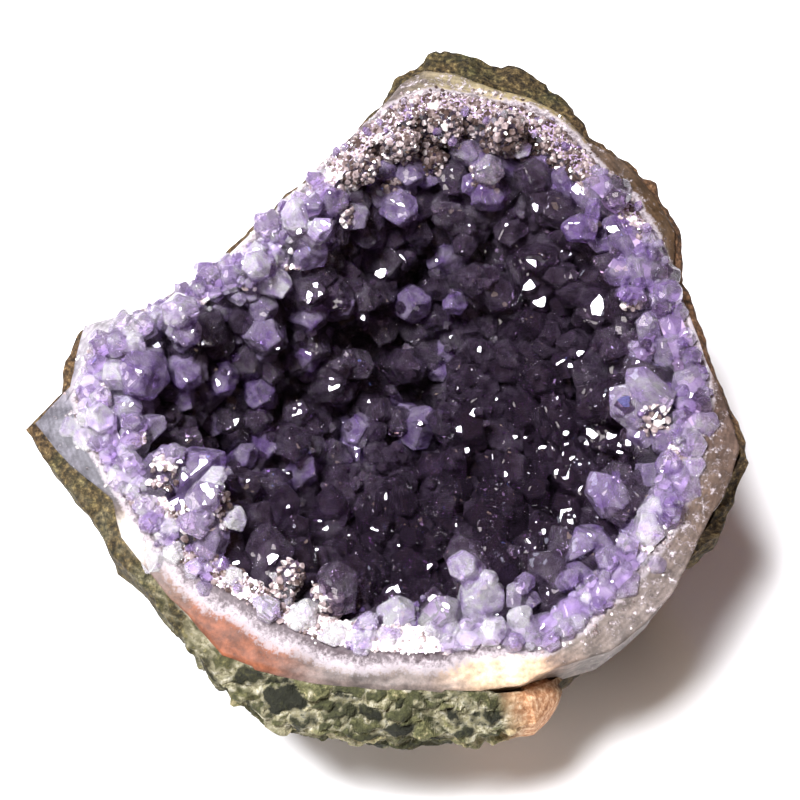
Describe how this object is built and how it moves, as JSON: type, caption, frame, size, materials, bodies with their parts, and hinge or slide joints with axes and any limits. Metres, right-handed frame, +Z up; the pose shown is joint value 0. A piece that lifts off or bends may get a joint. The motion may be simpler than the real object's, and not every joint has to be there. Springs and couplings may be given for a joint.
{
  "type": "geode half",
  "caption": "Broken half of a quartz geode, resting hollow up: a lumpy rock rind, a banded agate lining and a deep hollow crusted with pointed amethyst crystals.",
  "frame": {"origin": "on the flat that the half rests on, under the middle of its rim", "axes": "+Z up out of the hollow, -Y towards the low front of the rim, +X to the right seen from the front"},
  "size_m": [0.1181, 0.1172, 0.0702],
  "materials": {
    "basalt": "rough, weathered",
    "agate": "broken, waxy",
    "amethyst": "natural crystal faces, glassy"
  },
  "bodies": {
    "root": {"basalt_rind": "basalt", "agate_band": "agate", "amethyst_crust": "amethyst"}
  },
  "joints": []
}
